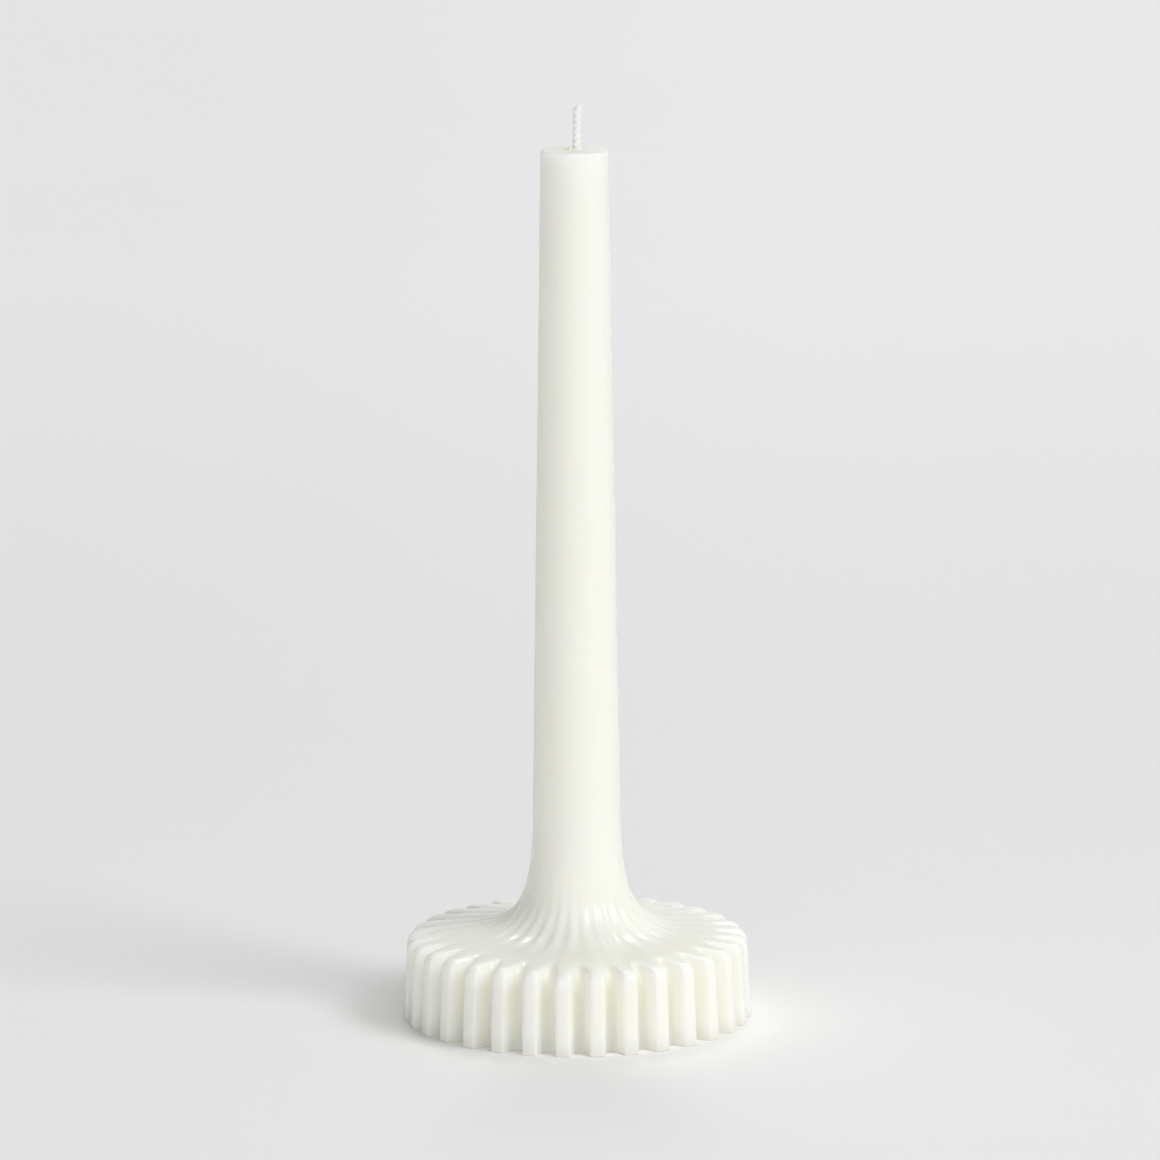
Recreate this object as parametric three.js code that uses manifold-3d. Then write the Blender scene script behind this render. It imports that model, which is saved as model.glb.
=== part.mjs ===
// A taper candle that stands on its own broad, fluted foot. Three pieces: the wax casting, the
// wick that runs right through it, and the thin steel clip that grips the wick's lower end in a
// recess of the underside. Millimetres, +Z up, underside on z = 0, stem axis on x = y = 0.
// The side that faces -Y is the front.

import * as THREE from 'three';
import * as BufferGeometryUtils from 'three/addons/utils/BufferGeometryUtils.js';
import Module from 'manifold-3d';

const { degToRad } = THREE.MathUtils;

// Foot: its side leans in by the draft, then rounds over the rim into a gently rising top
const FOOT_RADIUS = 47.4;
const FOOT_CHAMFER = 0.5;
const SIDE_DRAFT = degToRad(2.8);
const RIM_HEIGHT = 22.4;
const RIM_ROUND = 3.2;
const TOP_SLOPE = degToRad(8);

// Ridges round the side of the foot, which run over the rim and in to the neck. The grooves
// between them are deep on the side, turn over more gently than the ridges and are shallow above
const RIDGE_COUNT = 32;
const FRONT_RIDGE_TURN = degToRad(-4.66);
const RIDGE_TOP_WIDTH = 3.1;
const RIDGE_SHOULDER = 0.6;
const GROOVE_FLOOR_WIDTH = 1.8;
const GROOVE_ROUND = 6.5;
const SIDE_GROOVE_DEPTH = 4.4;
const RIM_GROOVE_DEPTH = 0.25;
const NECK_GROOVE_DEPTH = 0.3;

// Neck: one sweep from the top of the foot to the stem, set by how far each end pulls it
const NECK_FOOT_PULL = 21;
const NECK_STEM_PULL = 32;
const NECK_TOP_HEIGHT = 53;

// Stem: a plain taper with a softened top edge
const STEM_FOOT_RADIUS = 12;
const STEM_TOP_RADIUS = 9.05;
const STEM_TOP_HEIGHT = 237.3;
const TOP_EDGE_ROUND = 1;

// Wax that climbs the wick where it leaves the top
const COLLAR_RADIUS = 3.6;
const COLLAR_RISE = 1.1;
const COLLAR_LIP = 0.3;

// Wick: it drifts off the axis on its way up, leans a little more once free, and is cut aslant
const WICK_RADIUS = 1.15;
const WICK_FREE_LENGTH = 13.3;
const WICK_DRIFT = 0.6;
const WICK_TIP_LEAN = 0.4;
const WICK_CUT_DROP = 2.2;

// Clip: a disc with a short neck, set back from the surface that the candle stands on
const CLIP_RADIUS = 9;
const CLIP_SHEET = 0.5;
const CLIP_NECK_HEIGHT = 6;
const CLIP_SET_BACK = 0.3;

// Room between neighbouring pieces
const CLEARANCE = 0.3;

// Fineness of the faceted surface
const RIM_STEPS = 5;
const NECK_STEPS = 12;
const EDGE_STEPS = 3;
const COLLAR_STEPS = 3;
const FREE_WICK_STEPS = 4;
const WICK_SIDES = 16;
const CLIP_SIDES = 40;

const wickBoreRadius = WICK_RADIUS + CLEARANCE;
const clipNeckRadius = wickBoreRadius + CLIP_SHEET;
const wickFootHeight = CLIP_SET_BACK;

const wasm = await Module();
wasm.setup();

// Turn a lathe geometry made about Y so that it stands along Z with its seam at the front
function stand(geometry) {
  return geometry.rotateX(Math.PI / 2);
}

// Keep only position, share the vertices, and drop the triangles that shrink away on the axis
function weld(geometry) {
  const bare = geometry.clone();
  bare.deleteAttribute('normal');
  bare.deleteAttribute('uv');
  const merged = BufferGeometryUtils.mergeVertices(bare, 1e-4);
  const index = merged.index.array;
  const kept = [];
  for (let i = 0; i < index.length; i += 3) {
    const [a, b, c] = [index[i], index[i + 1], index[i + 2]];
    if (a !== b && b !== c && c !== a) {
      kept.push(a, b, c);
    }
  }
  merged.setIndex(kept);
  return merged;
}

function toSolid(geometry) {
  const welded = weld(geometry);
  const vertProperties = new Float32Array(welded.attributes.position.array);
  const triVerts = new Uint32Array(welded.index.array);
  return new wasm.Manifold(new wasm.Mesh({ numProp: 3, vertProperties, triVerts }));
}

function toGeometry(solid) {
  const mesh = solid.getMesh();
  const geometry = new THREE.BufferGeometry();
  geometry.setAttribute('position', new THREE.BufferAttribute(mesh.vertProperties, 3));
  geometry.setIndex(new THREE.BufferAttribute(mesh.triVerts, 1));
  geometry.computeVertexNormals();
  return geometry;
}

// Centre of the arc that leads a line from the foot's side over the rim: both the side, which
// leans by the draft, and the sloping top, lowered by a depth, are tangent to the arc
function rimCentre(sideRadius, round, depth) {
  const lean = Math.tan(SIDE_DRAFT);
  const slope = Math.tan(TOP_SLOPE);
  const topOnAxis = RIM_HEIGHT - depth + (FOOT_RADIUS - RIM_ROUND) * slope;
  const centreOnAxis = topOnAxis - round / Math.cos(TOP_SLOPE);
  const sideOnGround = sideRadius + FOOT_CHAMFER * lean - round / Math.cos(SIDE_DRAFT);
  const radius = (sideOnGround - centreOnAxis * lean) / (1 - slope * lean);
  return new THREE.Vector2(radius, centreOnAxis - radius * slope);
}

// The line that the ridge tops follow (sink 0) or the groove floors follow (sink 1), as radius
// and height from the middle of the underside out, up, over the rim, up the stem and in to the
// axis. Every sink gives the same number of points, so that the two lines pair up.
function outline(sink) {
  const sideRadius = FOOT_RADIUS - sink * SIDE_GROOVE_DEPTH;
  const round = THREE.MathUtils.lerp(RIM_ROUND, GROOVE_ROUND, sink);
  const centre = rimCentre(sideRadius, round, sink * RIM_GROOVE_DEPTH);
  const rim = new THREE.EllipseCurve(
    centre.x, centre.y, round, round, SIDE_DRAFT, Math.PI / 2 - TOP_SLOPE,
  );

  const rimEnd = rim.getPoint(1);
  const stemTaper = (STEM_FOOT_RADIUS - STEM_TOP_RADIUS) / (STEM_TOP_HEIGHT - NECK_TOP_HEIGHT);
  const footPull = new THREE.Vector2(
    FOOT_RADIUS - RIM_ROUND - NECK_FOOT_PULL * Math.cos(TOP_SLOPE),
    RIM_HEIGHT + NECK_FOOT_PULL * Math.sin(TOP_SLOPE) - sink * NECK_GROOVE_DEPTH,
  );
  const stemPull = new THREE.Vector2(
    STEM_FOOT_RADIUS + NECK_STEM_PULL * stemTaper,
    NECK_TOP_HEIGHT - NECK_STEM_PULL,
  );
  const stemFoot = new THREE.Vector2(STEM_FOOT_RADIUS, NECK_TOP_HEIGHT);
  const neck = new THREE.CubicBezierCurve(rimEnd, footPull, stemPull, stemFoot);

  const topEdge = new THREE.EllipseCurve(
    STEM_TOP_RADIUS - TOP_EDGE_ROUND, STEM_TOP_HEIGHT - TOP_EDGE_ROUND,
    TOP_EDGE_ROUND, TOP_EDGE_ROUND, 0, Math.PI / 2,
  );

  const lipRadius = wickBoreRadius + COLLAR_LIP;
  const collar = new THREE.QuadraticBezierCurve(
    new THREE.Vector2(COLLAR_RADIUS, STEM_TOP_HEIGHT),
    new THREE.Vector2(lipRadius, STEM_TOP_HEIGHT),
    new THREE.Vector2(lipRadius, STEM_TOP_HEIGHT + COLLAR_RISE),
  );

  return [
    new THREE.Vector2(0, 0),
    new THREE.Vector2(sideRadius - FOOT_CHAMFER, 0),
    new THREE.Vector2(sideRadius, FOOT_CHAMFER),
    ...rim.getPoints(RIM_STEPS),
    ...neck.getPoints(NECK_STEPS).slice(1),
    ...topEdge.getPoints(EDGE_STEPS),
    ...collar.getPoints(COLLAR_STEPS),
    new THREE.Vector2(0, STEM_TOP_HEIGHT + COLLAR_RISE),
  ];
}

// One ridge and one groove seen from above: how far each corner is turned from the ridge's
// middle, and how far down it lies between the ridge's top (0) and the groove's floor (1)
function ridgeSection() {
  const pitch = 2 * Math.PI / RIDGE_COUNT;
  const topHalf = RIDGE_TOP_WIDTH / 2 / FOOT_RADIUS;
  const shoulderHalf = topHalf + RIDGE_SHOULDER / FOOT_RADIUS;
  const shoulderSink = RIDGE_SHOULDER / SIDE_GROOVE_DEPTH;
  const floorHalf = GROOVE_FLOOR_WIDTH / 2 / (FOOT_RADIUS - SIDE_GROOVE_DEPTH);
  return [
    { turn: -shoulderHalf, sink: shoulderSink },
    { turn: -topHalf, sink: 0 },
    { turn: topHalf, sink: 0 },
    { turn: shoulderHalf, sink: shoulderSink },
    { turn: pitch / 2 - floorHalf, sink: 1 },
    { turn: pitch / 2 + floorHalf, sink: 1 },
  ];
}

// Turn the outline into the fluted casting, then shift the collar to where the wick comes out
function flutedBlank() {
  const ridgeLine = outline(0);
  const grooveLine = outline(1);
  const section = ridgeSection();
  const rows = ridgeLine.length;
  const geometry = new THREE.LatheGeometry(ridgeLine, RIDGE_COUNT * section.length);
  const position = geometry.attributes.position;
  for (let i = 0; i < position.count; i += 1) {
    const column = Math.floor(i / rows);
    const ridge = Math.floor(column / section.length) % RIDGE_COUNT;
    const corner = section[column % section.length];
    const turn = FRONT_RIDGE_TURN + ridge * 2 * Math.PI / RIDGE_COUNT + corner.turn;
    const point = ridgeLine[i % rows].clone().lerp(grooveLine[i % rows], corner.sink);
    const onCollar = point.y >= STEM_TOP_HEIGHT && point.x <= COLLAR_RADIUS;
    const shift = onCollar ? WICK_DRIFT : 0;
    position.setXYZ(i, point.x * Math.sin(turn) + shift, point.y, point.x * Math.cos(turn));
  }
  return stand(geometry);
}

// Where the wick's middle is at a height: straight inside the wax, leaning more once it is free
function wickOffset(height) {
  const free = Math.max(0, (height - STEM_TOP_HEIGHT) / WICK_FREE_LENGTH);
  return WICK_DRIFT * Math.min(1, height / STEM_TOP_HEIGHT) + WICK_TIP_LEAN * free * free;
}

// A tube along the wick's route, with a ring at each height, its top sloping down to the left
function wickTube(radius, heights, cutDrop) {
  const top = heights[heights.length - 1];
  const profile = [
    new THREE.Vector2(0, heights[0]),
    ...heights.map((height) => new THREE.Vector2(radius, height)),
    new THREE.Vector2(0, top),
  ];
  const geometry = stand(new THREE.LatheGeometry(profile, WICK_SIDES));
  const position = geometry.attributes.position;
  for (let i = 0; i < position.count; i += 1) {
    const [x, y, z] = [position.getX(i), position.getY(i), position.getZ(i)];
    const drop = z > top - 1e-3 ? cutDrop * (radius - x) / (2 * radius) : 0;
    position.setXYZ(i, x + wickOffset(z), y, z - drop);
  }
  return geometry;
}

function drum(radius, bottom, top) {
  const profile = [
    new THREE.Vector2(0, bottom),
    new THREE.Vector2(radius, bottom),
    new THREE.Vector2(radius, top),
    new THREE.Vector2(0, top),
  ];
  return stand(new THREE.LatheGeometry(profile, CLIP_SIDES));
}

// The casting, less the wick's bore and the stepped recess for the clip
function waxBody() {
  const below = -1;
  const above = STEM_TOP_HEIGHT + COLLAR_RISE + 1;
  const bore = wickTube(wickBoreRadius, [below, 0, STEM_TOP_HEIGHT, above], 0);
  const discTop = CLIP_SET_BACK + CLIP_SHEET + CLEARANCE;
  const neckTop = CLIP_SET_BACK + CLIP_SHEET + CLIP_NECK_HEIGHT + CLEARANCE;
  const discPocket = drum(CLIP_RADIUS + CLEARANCE, below, discTop);
  const neckPocket = drum(clipNeckRadius + CLEARANCE, below, neckTop);
  const solid = toSolid(flutedBlank())
    .subtract(toSolid(discPocket))
    .subtract(toSolid(neckPocket))
    .subtract(toSolid(bore));
  return toGeometry(solid);
}

function wick() {
  const heights = [wickFootHeight, STEM_TOP_HEIGHT];
  for (let step = 1; step <= FREE_WICK_STEPS; step += 1) {
    heights.push(STEM_TOP_HEIGHT + WICK_FREE_LENGTH * step / FREE_WICK_STEPS);
  }
  return wickTube(WICK_RADIUS, heights, WICK_CUT_DROP);
}

function wickClip() {
  const sheetTop = CLIP_SET_BACK + CLIP_SHEET;
  const neckTop = sheetTop + CLIP_NECK_HEIGHT;
  const profile = [
    new THREE.Vector2(wickBoreRadius, CLIP_SET_BACK),
    new THREE.Vector2(CLIP_RADIUS, CLIP_SET_BACK),
    new THREE.Vector2(CLIP_RADIUS, sheetTop),
    new THREE.Vector2(clipNeckRadius, sheetTop),
    new THREE.Vector2(clipNeckRadius, neckTop),
    new THREE.Vector2(wickBoreRadius, neckTop),
    new THREE.Vector2(wickBoreRadius, CLIP_SET_BACK),
  ];
  return stand(new THREE.LatheGeometry(profile, CLIP_SIDES));
}

function piece(name, geometry, color, roughness, metalness) {
  const material = new THREE.MeshStandardMaterial({ color, roughness, metalness });
  const mesh = new THREE.Mesh(geometry, material);
  mesh.name = name;
  return mesh;
}

const candle = new THREE.Group();
candle.add(piece('wax_body', waxBody(), 0xf2f1e6, 0.42, 0));
candle.add(piece('wick', wick(), 0xf4f3ee, 0.85, 0));
candle.add(piece('wick_clip', wickClip(), 0xb9bcc0, 0.35, 1));

export default candle;
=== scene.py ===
"""A taper candle on its own broad fluted foot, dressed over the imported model.

The wax casting, the braided wick and the steel wick clip are modelled here at full detail and
stand for the plain solids of the frame. All sizes are in millimetres until they reach a mesh,
which is in metres. The side that faces -Y is the front.
"""

import logging
import math
import random
from collections.abc import Callable, Iterator
from contextlib import contextmanager
from dataclasses import dataclass
from enum import Enum

import bmesh
import bpy
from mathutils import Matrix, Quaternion, Vector, noise


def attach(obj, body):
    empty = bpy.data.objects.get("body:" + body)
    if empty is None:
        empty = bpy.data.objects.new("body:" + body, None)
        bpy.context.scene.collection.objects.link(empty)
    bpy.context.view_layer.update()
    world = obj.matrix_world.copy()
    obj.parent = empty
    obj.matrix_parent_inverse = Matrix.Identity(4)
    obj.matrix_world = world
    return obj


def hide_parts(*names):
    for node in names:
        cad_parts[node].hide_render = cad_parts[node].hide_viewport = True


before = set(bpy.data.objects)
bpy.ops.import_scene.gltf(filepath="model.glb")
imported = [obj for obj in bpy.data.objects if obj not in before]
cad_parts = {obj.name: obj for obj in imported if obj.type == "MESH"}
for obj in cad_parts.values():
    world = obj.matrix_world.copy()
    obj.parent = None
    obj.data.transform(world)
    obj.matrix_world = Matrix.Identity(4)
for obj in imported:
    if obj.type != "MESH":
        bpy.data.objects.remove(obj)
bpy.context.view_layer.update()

MM = 0.001
FULL_TURN = 2 * math.pi
MERGE_DISTANCE = 1e-6
NOISE_SPAN = (0.3, 0.7)
IMAGE_SIDE = 1160
Pair = tuple[float, float]
Triple = tuple[float, float, float]
Thing = bpy.types.Object
Material = bpy.types.Material
Socket = bpy.types.NodeSocket

log = logging.getLogger("candle")


class Node(Enum):
    """The solids of the frame that the pieces made here stand for."""

    WAX = "wax_body"
    WICK = "wick"
    CLIP = "wick_clip"


class Slot(Enum):
    """The record's material slots."""

    WAX = "wax"
    COTTON = "wick_cotton"
    STEEL = "clip_steel"


# Helpers


def take(*things: Thing) -> Thing:
    """Select only these objects and make the first one active.

    Args:
        things: the objects to select.

    Returns:
        The first object.
    """
    for thing in bpy.context.selected_objects:
        thing.select_set(False)
    for thing in things:
        thing.select_set(True)
    bpy.context.view_layer.objects.active = things[0]
    return things[0]


@contextmanager
def edit_mode(thing: Thing) -> Iterator[None]:
    """Work on one mesh in edit mode, with nothing selected at the start.

    Args:
        thing: the mesh object to edit.
    """
    take(thing)
    bpy.ops.object.mode_set(mode="EDIT")
    bpy.ops.mesh.select_mode(type="VERT")
    bpy.ops.mesh.select_all(action="DESELECT")
    yield
    bpy.ops.object.mode_set(mode="OBJECT")


def select_where(thing: Thing, test: Callable[[bmesh.types.BMVert], bool]) -> None:
    """In edit mode, select the vertices that pass a test, with the edges and faces they span.

    Args:
        thing: the mesh object in edit mode.
        test: says whether a vertex is selected.
    """
    mesh = bmesh.from_edit_mesh(thing.data)
    for vertex in mesh.verts:
        vertex.select_set(False)
    for vertex in [vertex for vertex in mesh.verts if test(vertex)]:
        vertex.select_set(True)
    mesh.select_flush(True)
    bmesh.update_edit_mesh(thing.data)


def extrude_rings(start: Pair, rings: list[Pair], aside: float = 0.0) -> None:
    """Extrude the selected ring, whose middle is on the axis, through a list of rings.

    Args:
        start: radius and height of the selected ring.
        rings: radius and height of each new ring.
        aside: how far right of the axis their middles are.
    """
    (radius, height), middle = start, 0.0
    for next_radius, next_height in rings:
        scale = next_radius / radius
        bpy.ops.mesh.extrude_region_move()
        bpy.ops.transform.resize(value=(scale, scale, 1.0), center_override=(middle * MM, 0, 0))
        bpy.ops.transform.translate(
            value=((aside - middle) * MM, 0, (next_height - height) * MM))
        radius, height, middle = next_radius, next_height, aside


def bridge_open_rings(thing: Thing) -> None:
    """Join a mesh's two open rings.

    Args:
        thing: the mesh object.
    """
    with edit_mode(thing):
        select_where(thing, lambda v: v.is_boundary)
        bpy.ops.mesh.bridge_edge_loops()


def outward_normals(thing: Thing) -> None:
    """Merge doubled vertices and turn every face outwards.

    Args:
        thing: the mesh object.
    """
    with edit_mode(thing):
        bpy.ops.mesh.select_all(action="SELECT")
        bpy.ops.mesh.remove_doubles(threshold=MERGE_DISTANCE)
        bpy.ops.mesh.normals_make_consistent(inside=False)


def complete(thing: Thing, name: str, degrees: float, material: Material) -> Thing:
    """Name a piece, give it its material and shade it smooth, apart from sharp edges.

    Args:
        thing: the mesh object.
        name: its name.
        degrees: the angle up to which an edge is smooth.
        material: its material.

    Returns:
        The mesh object.
    """
    take(thing)
    bpy.ops.object.shade_smooth_by_angle(angle=math.radians(degrees))
    thing.name = name
    thing.data.materials.clear()
    thing.data.materials.append(material)
    return thing


def apply_modifiers(thing: Thing) -> None:
    """Apply every modifier of an object in order.

    Args:
        thing: the mesh object.
    """
    take(thing)
    for modifier in list(thing.modifiers):
        bpy.ops.object.modifier_apply(modifier=modifier.name)


def smoothstep(value: float) -> float:
    """Ease from 0 to 1 as the value goes from 0 to 1.

    Args:
        value: the value, which may lie outside 0 to 1.

    Returns:
        The eased value.
    """
    value = min(1.0, max(0.0, value))
    return value * value * (3 - 2 * value)


def mix(start: float, end: float, share: float) -> float:
    """Find the value a share of the way from start to end.

    Args:
        start: the value at a share of 0.
        end: the value at a share of 1.
        share: the share.

    Returns:
        The value.
    """
    return start + (end - start) * share


def arc(centre: Pair, radius: float, start: float, end: float, steps: int) -> list[Pair]:
    """List points along an arc in the plane of radius and height.

    Args:
        centre: the arc's centre.
        radius: its radius.
        start: its first angle, in radians from the outward direction.
        end: its last angle.
        steps: the number of steps.

    Returns:
        The points, both ends included.
    """
    angles = [mix(start, end, i / steps) for i in range(steps + 1)]
    return [(centre[0] + radius * math.cos(angle), centre[1] + radius * math.sin(angle))
            for angle in angles]


def sweep(points: list[Pair], steps: int) -> list[Pair]:
    """List points along a cubic Bezier curve.

    Args:
        points: its start, two pulls and end.
        steps: the number of steps.

    Returns:
        The points, both ends included.
    """
    found = []
    for i in range(steps + 1):
        t = i / steps
        weights = ((1 - t) ** 3, 3 * t * (1 - t) ** 2, 3 * t * t * (1 - t), t ** 3)
        found.append(tuple(sum(weight * point[axis] for weight, point in zip(weights, points))
                           for axis in (0, 1)))
    return found


# Finishes


@dataclass(frozen=True)
class Grain:
    """The settings of one noise.

    Attributes:
        scale: cycles per metre of the coordinates that it reads.
        detail: number of octaves.
        rough: how strong the finer octaves are.
    """

    scale: float
    detail: float
    rough: float


class NodeSheet:
    """A material's node tree, with one method for each kind of node that the finishes use."""

    def __init__(self, name: str) -> None:
        """Start a material with an empty Principled shader.

        Args:
            name: the material's name.
        """
        self.material = bpy.data.materials.new(name)
        self.material.use_nodes = True
        self.tree = self.material.node_tree
        self.shader = self.tree.nodes["Principled BSDF"]
        self.place = self.add("ShaderNodeTexCoord").outputs["Object"]

    def add(self, kind: str, **values: object) -> bpy.types.Node:
        """Add a node and set its properties and inputs.

        Args:
            kind: Blender's name for the node's type.
            values: property values, or input values and links by the input's name with
                underscores for spaces.

        Returns:
            The new node.
        """
        node = self.tree.nodes.new(kind)
        for name, value in values.items():
            if hasattr(node, name):
                setattr(node, name, value)
            else:
                self.feed(node.inputs[name.replace("_", " ")], value)
        return node

    def feed(self, socket: Socket, value: object) -> None:
        """Link a socket to another, or give it a value.

        Args:
            socket: the input.
            value: an output to link it to, or its value.
        """
        if isinstance(value, Socket):
            self.tree.links.new(value, socket)
        else:
            socket.default_value = value

    def shade(self, **values: object) -> Material:
        """Feed the shader.

        Args:
            values: as for add.

        Returns:
            The finished material.
        """
        for name, value in values.items():
            self.feed(self.shader.inputs[name.replace("_", " ")], value)
        return self.material

    def stretched(self, scale: Triple) -> Socket:
        """Scale the object's coordinates along each axis.

        Args:
            scale: the factors.

        Returns:
            The coordinates.
        """
        return self.add("ShaderNodeMapping", Vector=self.place, Scale=scale).outputs["Vector"]

    def noise(self, grain: Grain, place: Socket | None = None) -> Socket:
        """Add a noise from 0 to 1.

        Args:
            grain: its settings.
            place: the coordinates, or None for the object's own.

        Returns:
            The noise's value.
        """
        node = self.add("ShaderNodeTexNoise", Vector=place or self.place, Scale=grain.scale,
                        Detail=grain.detail, Roughness=grain.rough)
        return node.outputs["Fac"]

    def spread(self, value: Socket, low: float, high: float) -> Socket:
        """Map the middle of a noise's range onto low to high.

        Args:
            value: the noise's value.
            low: the result at the span's lower end.
            high: the result at its upper end.

        Returns:
            The result.
        """
        node = self.add("ShaderNodeMapRange", Value=value, From_Min=NOISE_SPAN[0],
                        From_Max=NOISE_SPAN[1], To_Min=low, To_Max=high)
        return node.outputs["Result"]

    def eased(self, value: Socket, start: float, end: float, high: float = 1.0) -> Socket:
        """Ease from 0 to a value while another goes from start to end.

        Args:
            value: the value that is read.
            start: where the result is 0.
            end: where it is high.
            high: the result's other end.

        Returns:
            The result.
        """
        node = self.add("ShaderNodeMapRange", interpolation_type="SMOOTHSTEP", Value=value,
                        From_Min=start, From_Max=end, To_Max=high)
        return node.outputs["Result"]

    def blend(self, share: Socket, first: Triple, second: Triple) -> Socket:
        """Mix two colours by a share.

        Args:
            share: 0 for the first colour, 1 for the second.
            first: the first colour.
            second: the second colour.

        Returns:
            The mixed colour.
        """
        node = self.add("ShaderNodeMix", data_type="RGBA")
        self.feed(node.inputs["Factor"], share)
        ends = [socket for socket in node.inputs if socket.type == "RGBA"]
        for socket, colour in zip(ends, (first, second)):
            socket.default_value = (*colour, 1.0)
        return next(socket for socket in node.outputs if socket.type == "RGBA")

    def bump(self, height: Socket, depth: float, strength: float) -> Socket:
        """Bend the normal by a height.

        Args:
            height: the height, from 0 to 1.
            depth: how many metres a height of 1 stands for.
            strength: how much of it shows.

        Returns:
            The normal.
        """
        node = self.add("ShaderNodeBump", Strength=strength, Distance=depth, Height=height)
        return node.outputs["Normal"]


@dataclass(frozen=True)
class WaxFinish:
    """Smooth ivory wax: soft gloss, light that travels a few millimetres inside, faint clouding.

    Close to the wick, where the cotton drinks it, and at its foot, where it is scuffed, the wax
    lets no light through.

    Attributes:
        travel: how far light travels inside, in metres.
        soaked: distances from the axis between which it starts to let light through.
        dull: heights between which it does the same.
        swell: the grain of the slight unevenness that its gloss shows.
    """

    pale: Triple = (0.955, 0.940, 0.852)
    warm: Triple = (0.943, 0.926, 0.824)
    cloud: Grain = Grain(28.0, 4.0, 0.55)
    travel: float = 7.0 * MM
    travel_tint: Triple = (1.0, 0.97, 0.92)
    soaked: Pair = (1.2 * MM, 4.5 * MM)
    dull: Pair = (-1.5 * MM, 3.5 * MM)
    roughness: Pair = (0.18, 0.23)
    bloom: Grain = Grain(160.0, 5.0, 0.6)
    ior: float = 1.44
    swell: Grain = Grain(110.0, 2.0, 0.4)
    swell_depth: float = 0.12 * MM
    swell_strength: float = 0.3

    def material(self) -> Material:
        """Build the node material.

        Returns:
            The material.
        """
        sheet = NodeSheet("ivory_wax")
        out = sheet.add("ShaderNodeVectorMath", operation="LENGTH",
                        Vector=sheet.stretched((1.0, 1.0, 0.0))).outputs["Value"]
        up = sheet.add("ShaderNodeSeparateXYZ", Vector=sheet.place).outputs["Z"]
        clear = sheet.add("ShaderNodeMath", operation="MULTIPLY")
        for socket, place, span in zip(clear.inputs, (out, up), (self.soaked, self.dull)):
            sheet.feed(socket, sheet.eased(place, *span))
        clouding = sheet.spread(sheet.noise(self.cloud), 0.0, 1.0)
        return sheet.shade(
            Base_Color=sheet.blend(clouding, self.pale, self.warm),
            Roughness=sheet.spread(sheet.noise(self.bloom), *self.roughness),
            Subsurface_Weight=clear.outputs["Value"],
            Subsurface_Scale=self.travel,
            Subsurface_Radius=self.travel_tint,
            IOR=self.ior,
            Normal=sheet.bump(sheet.noise(self.swell), self.swell_depth, self.swell_strength),
        )


@dataclass(frozen=True)
class CottonFinish:
    """White cotton yarn soaked in wax: fibres along the yarn, nearly matte."""

    pale: Triple = (0.955, 0.95, 0.93)
    shade: Triple = (0.88, 0.872, 0.84)
    fibre: Grain = Grain(1.0, 4.0, 0.65)
    fibre_stretch: Triple = (9000.0, 9000.0, 1400.0)
    fibre_depth: float = 0.04 * MM
    fibre_strength: float = 0.6
    wet: Grain = Grain(700.0, 3.0, 0.5)
    roughness: Pair = (0.42, 0.72)
    sheen: float = 0.15

    def material(self) -> Material:
        """Build the node material.

        Returns:
            The material.
        """
        sheet = NodeSheet("waxed_cotton")
        fibre = sheet.noise(self.fibre, sheet.stretched(self.fibre_stretch))
        return sheet.shade(
            Base_Color=sheet.blend(sheet.spread(fibre, 1.0, 0.0), self.pale, self.shade),
            Roughness=sheet.spread(sheet.noise(self.wet), *self.roughness),
            Sheen_Weight=self.sheen,
            Normal=sheet.bump(fibre, self.fibre_depth, self.fibre_strength),
        )


@dataclass(frozen=True)
class SteelFinish:
    """Thin tinned sheet steel with fine rolling marks."""

    bright: Triple = (0.70, 0.71, 0.73)
    dull: Triple = (0.52, 0.53, 0.55)
    tarnish: Grain = Grain(260.0, 4.0, 0.6)
    rolling: Grain = Grain(1.0, 3.0, 0.6)
    rolling_stretch: Triple = (350.0, 9000.0, 350.0)
    rolling_depth: float = 0.01 * MM
    rolling_strength: float = 0.5
    roughness: Pair = (0.28, 0.46)

    def material(self) -> Material:
        """Build the node material.

        Returns:
            The material.
        """
        sheet = NodeSheet("tinned_steel")
        tarnish = sheet.spread(sheet.noise(self.tarnish), 0.0, 1.0)
        rolling = sheet.noise(self.rolling, sheet.stretched(self.rolling_stretch))
        return sheet.shade(
            Base_Color=sheet.blend(tarnish, self.bright, self.dull),
            Roughness=sheet.spread(rolling, *self.roughness),
            Metallic=1.0,
            Normal=sheet.bump(rolling, self.rolling_depth, self.rolling_strength),
        )


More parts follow.
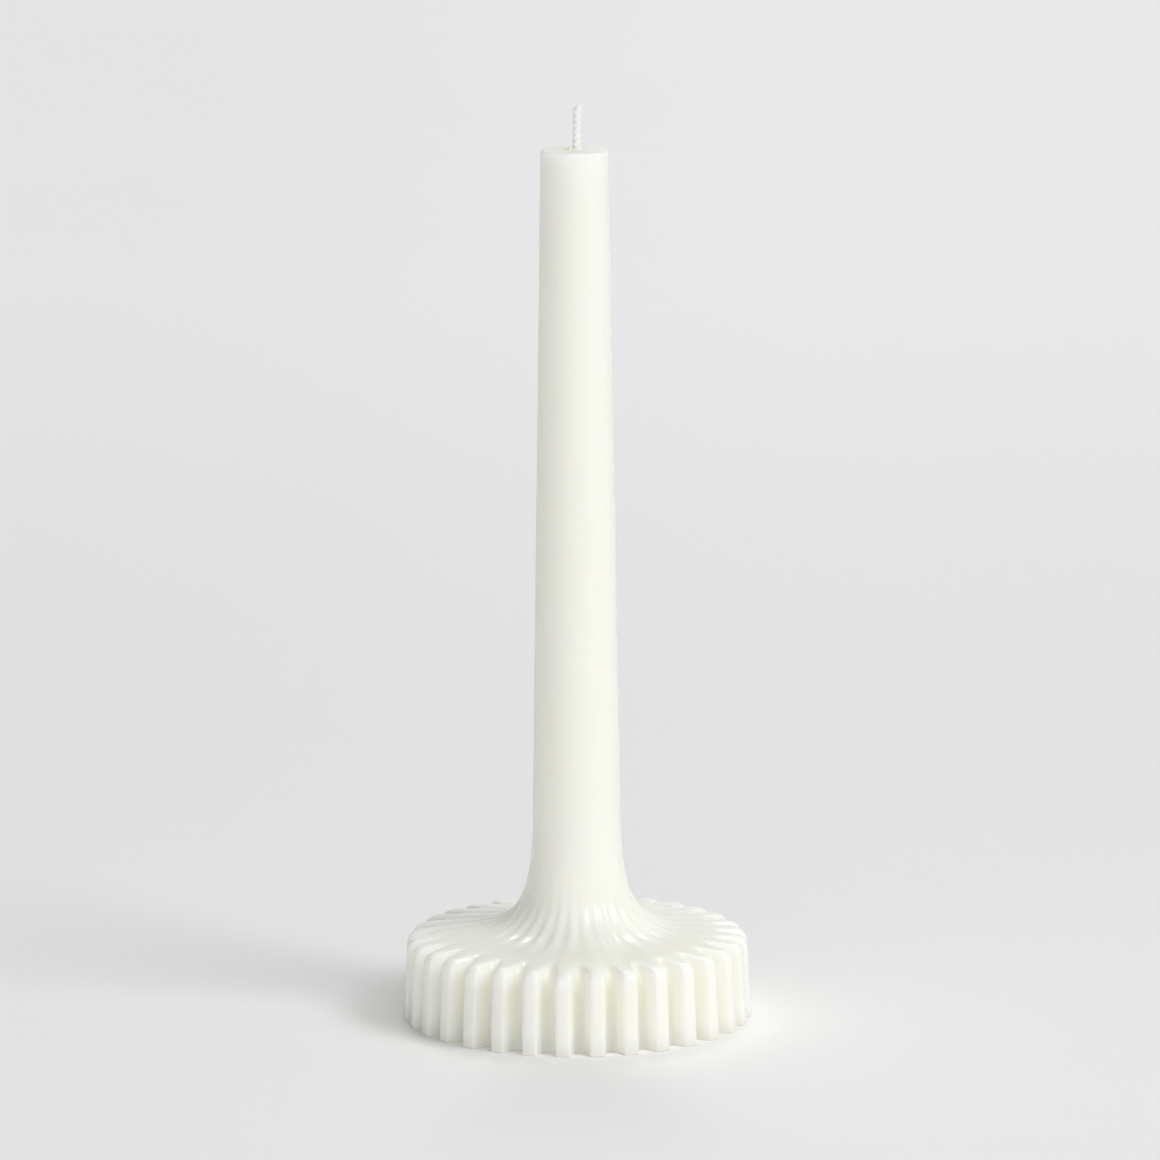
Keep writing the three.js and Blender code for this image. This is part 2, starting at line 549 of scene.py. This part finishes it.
@dataclass(frozen=True)
class FloorFinish:
    """A plain pale studio floor with painted light: its colour is made paler on the right, far
    behind and close in front, as if the lamps lit it more brightly there.

    Attributes:
        left: where the painted light starts to grow towards the right, in metres.
        right: where it stops.
        middle: where the painted light starts to grow towards the back and the front.
        far: where it stops at the back.
        near: where it stops at the front.
        right_painted_light: how much of the way from dark to light the painted light takes the
            floor's colour on the right.
        far_painted_light: the same painted light at the back.
        near_painted_light: the same painted light at the front.
    """

    # light is the floor's colour where the painted light is full; dark is its plain colour.
    light: Triple = (0.930, 0.930, 0.930)
    dark: Triple = (0.838, 0.838, 0.838)
    left: float = -0.22
    right: float = 0.12
    middle: float = 0.36
    far: float = 1.30
    near: float = -0.15
    right_painted_light: float = 0.42
    far_painted_light: float = 0.50
    near_painted_light: float = 0.30
    dapple: Grain = Grain(3.0, 2.0, 0.4)
    dapple_share: float = 0.05
    roughness: float = 0.9

    def material(self) -> Material:
        """Build the node material.

        Returns:
            The material.
        """
        sheet = NodeSheet("studio_floor")
        place = sheet.add("ShaderNodeSeparateXYZ", Vector=sheet.place).outputs
        level = sheet.spread(sheet.noise(self.dapple), 0.0, self.dapple_share)
        # Painted light: the floor's colour grows paler towards the right, the back and the front,
        # standing in for brighter light there.
        for axis, *rise in (("X", self.left, self.right, self.right_painted_light),
                            ("Y", self.middle, self.far, self.far_painted_light),
                            ("Y", self.middle, self.near, self.near_painted_light)):
            total = sheet.add("ShaderNodeMath", operation="ADD")
            sheet.feed(total.inputs[0], level)
            sheet.feed(total.inputs[1], sheet.eased(place[axis], *rise))
            level = total.outputs["Value"]
        return sheet.shade(Base_Color=sheet.blend(level, self.dark, self.light),
                           Roughness=self.roughness, Specular_IOR_Level=0.0)


# The candle's pieces


@dataclass(frozen=True)
class WickRoute:
    """Where the wick runs, which its bore, its collar and the wick itself share.

    Attributes:
        top_height: height of the stem's flat top.
        tip_height: height of the wick's tip.
        foot_height: height of its lower end.
        drift: how far right of the axis it leaves the stem.
        tip_lean: how much further right its tip is.
    """

    top_height: float = 237.3
    tip_height: float = 250.6
    foot_height: float = 0.3
    drift: float = 0.6
    tip_lean: float = 0.4

    def offset(self, height: float) -> float:
        """Find how far right of the axis the wick's middle is.

        Args:
            height: the height.

        Returns:
            The distance.
        """
        free = max(0.0, (height - self.top_height) / (self.tip_height - self.top_height))
        return self.drift * min(1.0, height / self.top_height) + self.tip_lean * free * free


@dataclass(frozen=True)
class FluteSection:
    """One ridge with half a groove on either side, as a level cut through the foot shows it.

    The ridge has a flat top, round shoulders and leaning flanks, and the groove's floor is round.

    Attributes:
        pitch: length from ridge to ridge along the foot's outer circle.
        depth: depth of the grooves.
        radius: radius of the outer circle.
        flat_half: half the width of the ridge's flat top.
        shoulder_round: radius of its shoulders.
        flank_lean: how far its flanks lean, in radians.
        steps: steps in each round.
    """

    pitch: float
    depth: float
    radius: float
    flat_half: float = 1.40
    shoulder_round: float = 0.7
    flank_lean: float = math.radians(14)
    steps: int = 4

    def half(self) -> list[Pair]:
        """Draw the cut from the middle of the ridge to the middle of the groove.

        Returns:
            Shares of half a pitch and of the groove's depth, 0 to 1, of each point.
        """
        lean = self.flank_lean
        reach = math.pi / 2 - lean
        turns = [reach * i / self.steps for i in range(self.steps + 1)]
        flat = [(self.flat_half * share, 0.0) for share in (0.0, 0.5)]
        shoulder = [(self.flat_half + self.shoulder_round * math.sin(turn),
                     self.shoulder_round * (1 - math.cos(turn))) for turn in turns]
        start_across, start_deep = shoulder[-1]
        middle = self.pitch / 2 * (1 - self.depth / self.radius)
        room = middle - start_across
        fall = self.depth - start_deep
        lost = (1 - math.sin(lean)) * math.tan(lean)
        floor_round = (room - fall * math.tan(lean)) / (math.cos(lean) - lost)
        floor = [(middle - floor_round * math.sin(turn),
                  self.depth - floor_round * (1 - math.cos(turn))) for turn in reversed(turns)]
        shares = []
        for across, deep in flat + shoulder + floor:
            local_half = self.pitch / 2 * (1 - deep / self.radius)
            shares.append((across / local_half, deep / self.depth))
        return shares

    def across(self) -> list[Pair]:
        """Draw the whole cut, from groove middle to groove middle.

        Returns:
            Place across one pitch (-0.5 to 0.5) and share of the depth of each point.
        """
        right = [(share / 2, sink) for share, sink in self.half()]
        left = [(-place, sink) for place, sink in reversed(right[1:])]
        return left + right


@dataclass
class WaxBody:
    """The casting: a fluted foot, a neck that gathers the flutes, and a tapering stem.

    Attributes:
        foot_edge: radius of the foot's lower edge.
        side_draft: how far the foot's side leans inwards.
        rim_height: height where the rim's round ends on the top face.
        rim_round: radius that leads the ridges from the side onto the top.
        groove_round: the same for the grooves' floors.
        neck_foot_pull: the neck curve's handle at the foot.
        neck_stem_pull: its handle at the stem.
        block_rows: rows of the mesh below which the ridges are blocks.
        soften_rows: rows over which they turn into waves.
        swell_across: cycles per metre of the unevenness, across.
        swell_up: the same, upwards.
    """

    route: WickRoute
    finish: WaxFinish

    foot_radius: float = 47.4
    foot_edge: float = 0.25
    side_draft: float = math.radians(2.8)
    rim_height: float = 22.4
    rim_round: float = 3.2
    top_slope: float = math.radians(8.0)

    ridge_count: int = 32
    front_ridge_turn: float = math.radians(-4.66)
    side_groove: float = 4.4
    rim_groove: float = 0.40
    groove_round: float = 6.5
    neck_groove: float = 0.035
    stem_groove: float = 0.013
    stem_groove_top: float = 120.0

    neck_foot_pull: float = 21.0
    neck_stem_pull: float = 32.0
    neck_top: float = 53.0
    stem_foot_radius: float = 12.0
    stem_top_radius: float = 9.05
    top_edge: float = 0.45

    draw_in: Pair = (0.8, 0.62)
    collar_radius: float = 3.6
    collar_rise: float = 0.7
    collar_curve: float = 2.6
    bore_radius: float = 1.10
    bore_start: float = 2.0
    burr_height: float = 1.0
    burr_out: float = 1.7
    burr_size: float = 0.55

    disc_pocket_radius: float = 9.3
    disc_pocket_height: float = 1.1
    neck_pocket_radius: float = 2.25
    neck_pocket_height: float = 7.1
    pocket_ease: float = 0.2
    bore_end: float = 1.0

    sway: float = 0.05
    swell_across: float = 45.0
    swell_up: float = 16.0
    smooth_below: float = 40.0

    under_shares: tuple[float, ...] = (0.0, 0.02, 0.25, 0.5, 0.75, 0.92)
    edge_steps: int = 4
    wall_steps: int = 8
    rim_steps: int = 10
    neck_steps: int = 42
    stem_steps: int = 30
    top_steps: int = 6
    collar_steps: int = 9
    block_rows: int = 20
    soften_rows: int = 14

    def build(self) -> Thing:
        """Model the casting.

        Returns:
            The finished mesh object.
        """
        body = self._ridge_strip()
        self._array_round(body)
        self._close_top(body)
        self._close_underside(body)
        bridge_open_rings(body)
        outward_normals(body)
        self._sway(body)
        return complete(body, "wax_casting", self.smooth_below, self.finish.material())

    def _outline(self, sink: float) -> list[Pair]:
        """Draw the line of the ridge tops or of the groove floors, from recess to stem top.

        Args:
            sink: 0 for the ridge tops, 1 for the groove floors.

        Returns:
            Radius and height of each row of the mesh. Both lines have as many rows.
        """
        side = self.foot_radius - sink * self.side_groove
        turn_round = mix(self.rim_round, self.groove_round, sink)
        rim_r, rim_z = self._rim_centre(side, turn_round, sink * self.rim_groove)
        quarter = math.pi / 2

        under_end = side - self.foot_edge
        under = [(mix(self.disc_pocket_radius, under_end, share), 0.0)
                 for share in self.under_shares]
        edge = arc((under_end, self.foot_edge), self.foot_edge, -quarter, self.side_draft,
                   self.edge_steps)
        rim = arc((rim_r, rim_z), turn_round, self.side_draft, quarter - self.top_slope,
                  self.rim_steps)
        wall = [tuple(mix(low, high, i / self.wall_steps) for low, high in zip(edge[-1], rim[0]))
                for i in range(1, self.wall_steps)]

        rise = self.route.top_height - self.neck_top
        taper = (self.stem_foot_radius - self.stem_top_radius) / rise
        flute = sink * self.stem_groove
        foot_pull = (
            self.foot_radius - self.rim_round - self.neck_foot_pull * math.cos(self.top_slope),
            self.rim_height + self.neck_foot_pull * math.sin(self.top_slope)
            - sink * self.neck_groove,
        )
        stem_pull = (self.stem_foot_radius + self.neck_stem_pull * taper - flute,
                     self.neck_top - self.neck_stem_pull)
        neck_end = (self.stem_foot_radius - flute, self.neck_top)
        neck = sweep([rim[-1], foot_pull, stem_pull, neck_end], self.neck_steps)

        edge_z = self.route.top_height - self.top_edge
        stem = []
        for i in range(1, self.stem_steps):
            z = mix(self.neck_top, edge_z, i / self.stem_steps)
            fade = 1 - smoothstep((z - self.neck_top) / (self.stem_groove_top - self.neck_top))
            stem.append((self.stem_foot_radius - (z - self.neck_top) * taper - flute * fade, z))
        top = arc((self.stem_top_radius - self.top_edge, edge_z), self.top_edge, 0.0, quarter,
                  self.top_steps)
        return under + edge + wall + rim + neck[1:] + stem + top

    def _rim_centre(self, side: float, turn_round: float, depth: float) -> Pair:
        """Find the centre of the arc that leads a line from the side onto the top of the foot.

        Args:
            side: the line's radius at the foot.
            turn_round: the arc's radius.
            depth: how far below the ridges' top face the line runs.

        Returns:
            Radius and height of the centre.
        """
        lean, slope = math.tan(self.side_draft), math.tan(self.top_slope)
        axis_z = self.rim_height - depth + (self.foot_radius - self.rim_round) * slope
        axis_z -= turn_round / math.cos(self.top_slope)
        foot_r = side + self.foot_edge * lean - turn_round / math.cos(self.side_draft)
        radius = (foot_r - axis_z * lean) / (1 - slope * lean)
        return radius, axis_z - radius * slope

    def _softness(self, row: int) -> float:
        """Find how far the ridges have turned from blocks into soft waves.

        Args:
            row: the row of the mesh, counted from the recess.

        Returns:
            0 on the side, 1 from a little way in from the rim.
        """
        return smoothstep((row - self.block_rows) / self.soften_rows)

    def _ridge_strip(self) -> Thing:
        """Lay a flat grid onto one ridge, with half a groove on either side.

        Returns:
            The strip, from the edge of the recess to the top of the stem.
        """
        pitch = FULL_TURN * self.foot_radius / self.ridge_count
        section = FluteSection(pitch, self.side_groove, self.foot_radius).across()
        ridge_line = self._outline(0.0)
        groove_line = self._outline(1.0)
        columns, rows = len(section), len(ridge_line)
        bpy.ops.mesh.primitive_grid_add(x_subdivisions=columns - 1, y_subdivisions=rows - 1,
                                        size=1.0, location=(0, 0, 0))
        strip = bpy.context.active_object
        for vertex in strip.data.vertices:
            across, sink = section[round((vertex.co.x + 0.5) * (columns - 1))]
            row = round((vertex.co.y + 0.5) * (rows - 1))
            sink = mix(sink, 0.5 - 0.5 * math.cos(FULL_TURN * across), self._softness(row))
            radius = mix(ridge_line[row][0], groove_line[row][0], sink) * MM
            height = mix(ridge_line[row][1], groove_line[row][1], sink) * MM
            turn = self.front_ridge_turn + across * FULL_TURN / self.ridge_count
            vertex.co = (radius * math.sin(turn), -radius * math.cos(turn), height)
        return strip

    def _array_round(self, strip: Thing) -> None:
        """Repeat the strip round the axis and join the copies' edges.

        Args:
            strip: the strip, which becomes the whole.
        """
        bpy.ops.object.empty_add(rotation=(0, 0, FULL_TURN / self.ridge_count))
        turner = bpy.context.active_object
        array = take(strip).modifiers.new("ridges_round", "ARRAY")
        array.count = self.ridge_count
        array.use_relative_offset = False
        array.use_object_offset = True
        array.offset_object = turner
        array.use_merge_vertices = True
        array.use_merge_vertices_cap = True
        array.merge_threshold = 0.005 * MM
        apply_modifiers(strip)
        bpy.data.objects.remove(turner)

    def _close_top(self, body: Thing) -> None:
        """Draw the stem's top in to the wick, with wax that climbs it, and start the bore.

        Args:
            body: the casting, whose upper end is open.
        """
        top = self.route.top_height
        exit_x = self.route.offset(top)
        edge = self.stem_top_radius - self.top_edge
        shares = [step / self.collar_steps for step in range(self.collar_steps + 1)]
        collar = [(mix(self.collar_radius, self.bore_radius, share),
                   top + self.collar_rise * share ** self.collar_curve) for share in shares]
        with edit_mode(body):
            select_where(body, lambda v: v.is_boundary and v.co.z > (top - 0.5) * MM)
            face = [(edge * share, top) for share in self.draw_in]
            extrude_rings((edge, top), face)
            extrude_rings(face[-1], [*collar, (self.bore_radius, top - self.bore_start)], exit_x)
        self._burr(body, exit_x - self.burr_out)

    def _burr(self, body: Thing, middle_x: float) -> None:
        """Raise the small burr of wax beside the wick.

        Args:
            body: the casting.
            middle_x: the burr's place along X.
        """
        face = self.route.top_height * MM
        for vertex in body.data.vertices:
            if vertex.co.z < face - 0.01 * MM:
                continue
            away = Vector((vertex.co.x - middle_x * MM, vertex.co.y)).length
            away /= self.burr_size * MM
            vertex.co.z += self.burr_height * MM * math.exp(-away * away)

    def _close_underside(self, body: Thing) -> None:
        """Step the recess for the clip up from the underside, and narrow it to the bore.

        Args:
            body: the casting, whose lower end is open.
        """
        disc, neck, ease = self.disc_pocket_radius, self.neck_pocket_radius, self.pocket_ease
        low, high = self.disc_pocket_height, self.neck_pocket_height
        with edit_mode(body):
            select_where(body, lambda v: v.is_boundary and v.co.z < 0.1 * MM)
            extrude_rings((disc, 0.0), [(disc, low), (disc - ease, low), (neck + ease, low),
                                        (neck, low + ease), (neck, high), (self.bore_radius, high),
                                        (self.bore_radius, high + self.bore_end)])

    def _sway(self, body: Thing) -> None:
        """Give the surface the slow unevenness of poured wax, always inwards.

        Args:
            body: the casting.
        """
        near, far = self.collar_radius * MM, self.foot_radius * MM
        for vertex in body.data.vertices:
            place = vertex.co
            across = Vector((place.x, place.y, 0.0))
            if place.z < self.foot_edge * MM or not near <= across.length < far:
                continue
            swell = noise.noise(Vector((place.x * self.swell_across, place.y * self.swell_across,
                                        place.z * self.swell_up)))
            inward = -self.sway * MM * (0.5 + 0.5 * swell)
            vertex.co = place + across.normalized() * inward


@dataclass
class BraidedWick:
    """Cotton yarns braided round a core, soaked in wax and cut aslant at the top.

    Attributes:
        braid_radius: radius of the circle that the yarns' middles keep to.
        lift: how far they leave it to pass over and under each other.
        lay: height of one turn of a yarn.
        each_way: number of yarns that wind each way.
        cut_drop: how much lower the slanting cut is on one side.
        tip_gap: room above the cut for the loose fibres.
        fibre_root: how deep the fibres start, as a share of the cut's drop.
        fibre_length: their length, as a share of it.
    """

    route: WickRoute
    finish: CottonFinish

    yarn_radius: float = 0.36
    braid_radius: float = 0.70
    lift: float = 0.07
    core_radius: float = 0.98
    core_step: float = 2.0
    core_sides: int = 3
    yarn_sides: int = 2
    past_tip: float = 0.5
    lay: float = 7.0
    each_way: int = 4
    steps_per_lay: int = 18
    cut_drop: float = 2.1
    tip_gap: float = 0.15
    smooth_below: float = 50.0

    fibre_seed: int = 7
    fibre_count: int = 9
    fibre_radius: float = 0.05
    fibre_thinning: float = 0.6
    fibre_out: Pair = (0.2, 0.8)
    fibre_lean: Pair = (-0.3, 0.3)
    fibre_climb: Pair = (0.5, 1.0)
    fibre_root: float = 0.8
    fibre_length: float = 0.7
    fibre_shares: tuple[float, ...] = (0.0, 0.35, 0.7, 1.0)

    def build(self) -> Thing:
        """Model the wick from the clip to its cut end.

        Returns:
            The finished mesh object.
        """
        yarns = [self._core()]
        for way in (-1, 1):
            for i in range(self.each_way):
                yarns.append(self._yarn(way, FULL_TURN * i / self.each_way))
        for yarn in yarns:
            self._cut(yarn)
        yarns += self._fibres()
        wick = take(*yarns)
        bpy.ops.object.join()
        outward_normals(wick)
        return complete(wick, "braided_wick", self.smooth_below, self.finish.material())

    def _tube(self, points: list[Vector], radius: float, sides: int,
              taper: Callable[[float], float] | None = None) -> Thing:
        """Make a closed round tube along points.

        Args:
            points: its route, in millimetres.
            radius: its radius, in millimetres.
            sides: half the number of its sides.
            taper: gives the share of the radius at a share of the length.

        Returns:
            The tube as a mesh object.
        """
        curve = bpy.data.curves.new("yarn", "CURVE")
        curve.dimensions = "3D"
        curve.bevel_depth = radius * MM
        curve.bevel_resolution = sides
        curve.use_fill_caps = True
        spline = curve.splines.new("POLY")
        spline.points.add(len(points) - 1)
        for i, (knot, point) in enumerate(zip(spline.points, points)):
            knot.co = (*(point * MM), 1.0)
            if taper is not None:
                knot.radius = taper(i / (len(points) - 1))
        tube = bpy.data.objects.new("yarn", curve)
        bpy.context.scene.collection.objects.link(tube)
        take(tube)
        bpy.ops.object.convert(target="MESH")
        return bpy.context.active_object

    def _heights(self, step: float) -> list[float]:
        """List heights from the wick's foot to just past its tip.

        Args:
            step: about how far apart they are.

        Returns:
            The heights.
        """
        low, high = self.route.foot_height, self.route.tip_height + self.past_tip
        count = round((high - low) / step)
        return [mix(low, high, i / count) for i in range(count + 1)]

    def _core(self) -> Thing:
        """Make the straight core that the yarns are braided round.

        Returns:
            The core as a mesh object.
        """
        points = [Vector((self.route.offset(z), 0.0, z)) for z in self._heights(self.core_step)]
        return self._tube(points, self.core_radius, self.core_sides)

    def _yarn(self, way: int, start: float) -> Thing:
        """Make one yarn, which passes over and under those that wind the other way.

        Args:
            way: 1 or -1, the way that it winds.
            start: the angle that it starts at.

        Returns:
            The yarn as a mesh object.
        """
        points = []
        for z in self._heights(self.lay / self.steps_per_lay):
            turn = FULL_TURN * z / self.lay
            radius = self.braid_radius + way * self.lift * math.cos(self.each_way * turn)
            angle = start + way * turn
            points.append(Vector((self.route.offset(z) + radius * math.cos(angle),
                                  radius * math.sin(angle), z)))
        return self._tube(points, self.yarn_radius, self.yarn_sides)

    def _cut(self, yarn: Thing) -> None:
        """Cut a yarn along the slanting plane of the wick's end and close it.

        Args:
            yarn: the yarn.
        """
        reach = self.braid_radius + self.lift + self.yarn_radius
        high = self.route.tip_height - self.tip_gap
        middle = Vector((self.route.offset(high), 0.0, high - self.cut_drop / 2))
        slope = Vector((-self.cut_drop, 0.0, 2 * reach)).normalized()
        with edit_mode(yarn):
            bpy.ops.mesh.select_all(action="SELECT")
            bpy.ops.mesh.bisect(plane_co=middle * MM, plane_no=slope, use_fill=True,
                                clear_outer=True)

    def _fibres(self) -> list[Thing]:
        """Make the few loose fibres that stand out of the cut end.

        Returns:
            The fibres as mesh objects.
        """
        draw = random.Random(self.fibre_seed)
        fibres = []
        high = self.route.tip_height - self.tip_gap
        reach = self.cut_drop * self.fibre_length
        for _ in range(self.fibre_count):
            angle = draw.uniform(0, FULL_TURN)
            out = draw.uniform(*self.fibre_out)
            x = self.route.offset(high) + out * math.cos(angle)
            base = Vector((x, out * math.sin(angle), high - self.cut_drop * self.fibre_root))
            lean = Vector((draw.uniform(*self.fibre_lean), draw.uniform(*self.fibre_lean),
                           draw.uniform(*self.fibre_climb)))
            points = [base + lean * reach * share for share in self.fibre_shares]
            fibres.append(self._tube(points, self.fibre_radius, 1,
                                     lambda share: 1 - self.fibre_thinning * share))
        return fibres


@dataclass
class WickClip:
    """The pressed steel clip: a disc with a raised neck that is crimped onto the wick.

    Attributes:
        sheet: thickness of the sheet.
        set_back: height of the disc's underside.
        edge_in: how far in the round of an outer edge starts.
        edge_up: how far up or down it ends.
        pressed: radii of the pressed ring.
        neck_foot: points of the neck's foot, out from the neck and up.
        neck_rows: heights of the neck's rows, above the sheet.
        crimp: how far the tool pinched the neck in.
        crimp_height: height of the pinch's middle, above the sheet.
        crimp_reach: its reach up and down.
        crimp_from: height where it starts.
    """

    finish: SteelFinish

    disc_radius: float = 9.0
    sheet: float = 0.5
    set_back: float = 0.3
    neck_height: float = 6.0
    neck_inner: float = 1.30
    neck_sheet: float = 0.8
    edge_in: float = 0.15
    edge_up: float = 0.12
    pressed: tuple[float, ...] = (6.2, 6.0, 5.2, 5.0)
    pressed_depth: float = 0.14
    neck_foot: tuple[Pair, ...] = ((0.35, 0.0), (0.08, 0.12), (0.0, 0.45))
    neck_rows: tuple[float, ...] = (1.6, 2.4, 3.2, 4.0, 4.8)
    mouth_edge: float = 0.08
    mouth_flare: float = 0.1
    crimp: float = 0.16
    crimp_height: float = 3.2
    crimp_reach: float = 0.9
    crimp_from: float = 1.0
    crimp_sides: int = 4
    sides: int = 96
    smooth_below: float = 30.0

    def build(self) -> Thing:
        """Model the clip.

        Returns:
            The finished mesh object.
        """
        bpy.ops.mesh.primitive_circle_add(vertices=self.sides, radius=self.neck_inner * MM,
                                          location=(0, 0, self.set_back * MM))
        clip = bpy.context.active_object
        bpy.ops.object.transform_apply(location=True)
        with edit_mode(clip):
            bpy.ops.mesh.select_all(action="SELECT")
            extrude_rings((self.neck_inner, self.set_back), self._rings())
        bridge_open_rings(clip)
        self._crimp(clip)
        outward_normals(clip)
        return complete(clip, "pressed_clip", self.smooth_below, self.finish.material())

    def _rings(self) -> list[Pair]:
        """List the rings of the sheet's surface: under the disc, over it and up the neck.

        Returns:
            Radius and height of each ring.
        """
        low, high = self.set_back, self.set_back + self.sheet
        disc, edge_in, edge_up = self.disc_radius, self.edge_in, self.edge_up
        outer, mouth = self.neck_inner + self.sheet * self.neck_sheet, high + self.neck_height
        drops = (0.0, self.pressed_depth, self.pressed_depth, 0.0)
        return [
            (self.neck_inner + self.mouth_flare, low), (disc - edge_in, low),
            (disc, low + edge_up), (disc, high - edge_up), (disc - edge_in, high),
            *((radius, high - drop) for radius, drop in zip(self.pressed, drops)),
            *((outer + out, high + up) for out, up in self.neck_foot),
            *((outer, high + up) for up in self.neck_rows),
            (outer, mouth - edge_up), (outer - edge_up, mouth),
            (self.neck_inner + self.mouth_edge, mouth), (self.neck_inner, mouth - self.mouth_edge),
        ]

    def _crimp(self, clip: Thing) -> None:
        """Pinch the neck in on four sides, where the tool gripped it.

        Args:
            clip: the clip.
        """
        for vertex in clip.data.vertices:
            place = vertex.co
            up = place.z / MM - self.set_back - self.sheet
            if up < self.crimp_from:
                continue
            across = Vector((place.x, place.y, 0.0))
            grip = math.exp(-((up - self.crimp_height) / self.crimp_reach) ** 2)
            side = max(0.0, math.cos(self.crimp_sides * math.atan2(place.y, place.x))) ** 2
            vertex.co = place - across.normalized() * (self.crimp * MM * grip * side)


# Studio


@dataclass(frozen=True)
class Lamp:
    """A far, broad studio light, which lights the whole floor evenly.

    Attributes:
        name: the light's name.
        azimuth: degrees from the front, towards the right.
        elevation: degrees above the floor.
        breadth: degrees that it takes up, seen from the candle.
        power: its strength.
    """

    name: str
    azimuth: float
    elevation: float
    breadth: float
    power: float

    def place(self) -> None:
        """Add the light."""
        turn, rise = math.radians(self.azimuth), math.radians(self.elevation)
        away = Vector((math.sin(turn) * math.cos(rise), -math.cos(turn) * math.cos(rise),
                       math.sin(rise)))
        bpy.ops.object.light_add(type="SUN", location=away)
        lamp = bpy.context.active_object
        lamp.name = self.name
        lamp.rotation_euler = away.to_track_quat("Z", "Y").to_euler()
        lamp.data.angle = math.radians(self.breadth)
        lamp.data.energy = self.power


@dataclass
class Studio:
    """Floor, lights and the camera at the photograph's viewing angle.

    Attributes:
        floor_drop: how far below the candle the floor lies, in metres.
        sky_low: strength of the room's light at the floor's level.
        sky_high: its strength overhead.
        sky_fade: the sine of the elevation where it has faded.
        aim: the point that the camera looks at, in metres.
        focal_pixels: the focal length in pixels of the photograph.
        sensor: width of the camera's sensor, in millimetres.
    """

    floor_finish: FloorFinish
    floor_radius: float = 9.0
    floor_sides: int = 96
    floor_drop: float = 0.02 * MM
    sky_low: float = 0.74
    sky_high: float = 0.02
    sky_fade: float = 0.42

    camera_distance: float = 2.0
    camera_elevation: float = math.radians(11.34)
    camera_roll: float = math.radians(-0.216)
    aim: Triple = (0.00113, 0.0, 0.12035)
    focal_pixels: float = 7415.0
    sensor: float = 36.0
    clip: Pair = (0.1, 30.0)

    def build(self) -> None:
        """Set up everything round the candle."""
        self._floor()
        self._sky()
        for lamp in self._lamps():
            lamp.place()
        self._camera()
        bpy.context.scene.view_settings.view_transform = "Standard"

    def _lamps(self) -> list[Lamp]:
        """List the studio's lights.

        Returns:
            The lights.
        """
        return [Lamp(*row) for row in (
            ("key_right", 62, 42, 26, 1.22),
            ("fill_right", 20, 45, 60, 0.63),
            ("fill_front", -18, 16, 60, 0.53),
            ("fill_left", -60, 16, 60, 0.10),
            ("side_back", 128, 45, 60, 0.43),
            ("overhead_back", 180, 60, 18, 0.60),
            ("overhead_front", 0, 70, 60, 0.26),
            ("back_low", 180, 16, 60, 0.18),
            ("back_left", 194, 22, 20, 0.03),
        )]

    def _floor(self) -> None:
        """Lay a wide floor, a hair below the candle's underside."""
        bpy.ops.mesh.primitive_circle_add(vertices=self.floor_sides, radius=self.floor_radius,
                                          fill_type="NGON", location=(0, 0, -self.floor_drop))
        floor = bpy.context.active_object
        floor.name = "studio_floor"
        floor.data.materials.append(self.floor_finish.material())

    def _sky(self) -> None:
        """Put pale walls round the room: bright near the floor's level and dim overhead."""
        world = bpy.data.worlds.new("studio_air")
        world.use_nodes = True
        tree = world.node_tree
        air = tree.nodes["Background"]
        air.inputs["Color"].default_value = (1.0, 1.0, 1.0, 1.0)
        way = tree.nodes.new("ShaderNodeTexCoord")
        split = tree.nodes.new("ShaderNodeSeparateXYZ")
        fade = tree.nodes.new("ShaderNodeMapRange")
        fade.interpolation_type = "SMOOTHSTEP"
        for name, number in (("From Min", 0.0), ("From Max", self.sky_fade),
                             ("To Min", self.sky_low), ("To Max", self.sky_high)):
            fade.inputs[name].default_value = number
        tree.links.new(way.outputs["Generated"], split.inputs["Vector"])
        tree.links.new(split.outputs["Z"], fade.inputs["Value"])
        tree.links.new(fade.outputs["Result"], air.inputs["Strength"])
        bpy.context.scene.world = world

    def _camera(self) -> None:
        """Add the camera."""
        rise = self.camera_elevation
        aim = Vector(self.aim)
        back = Vector((0.0, -math.cos(rise), math.sin(rise)))
        bpy.ops.object.camera_add(location=aim + back * self.camera_distance)
        camera = bpy.context.active_object
        camera.name = "photo_view"
        camera.rotation_mode = "QUATERNION"
        upright = (-back).to_track_quat("-Z", "Y")
        camera.rotation_quaternion = upright @ Quaternion((0.0, 0.0, 1.0), self.camera_roll)
        camera.data.sensor_width = self.sensor
        camera.data.lens = self.focal_pixels * self.sensor / IMAGE_SIDE
        camera.data.clip_start, camera.data.clip_end = self.clip
        bpy.context.scene.camera = camera


def hand_over(piece: Thing, node: Node) -> None:
    """Let a piece stand for its solid, on the model's one body, and report it.

    Args:
        piece: the finished mesh object.
        node: the solid that it replaces.
    """
    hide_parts(node.value)
    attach(piece, "root")
    triangles = sum(len(face.vertices) - 2 for face in piece.data.polygons)
    log.info("%s stands for %s, %d triangles", piece.name, node.value, triangles)


def main() -> None:
    """Build the candle's pieces in order, then the studio."""
    logging.basicConfig(level=logging.INFO, format="%(name)s: %(message)s")
    route = WickRoute()
    hand_over(WaxBody(route, WaxFinish()).build(), Node.WAX)
    hand_over(BraidedWick(route, CottonFinish()).build(), Node.WICK)
    hand_over(WickClip(SteelFinish()).build(), Node.CLIP)
    Studio(FloorFinish()).build()


if __name__ == "__main__":
    main()
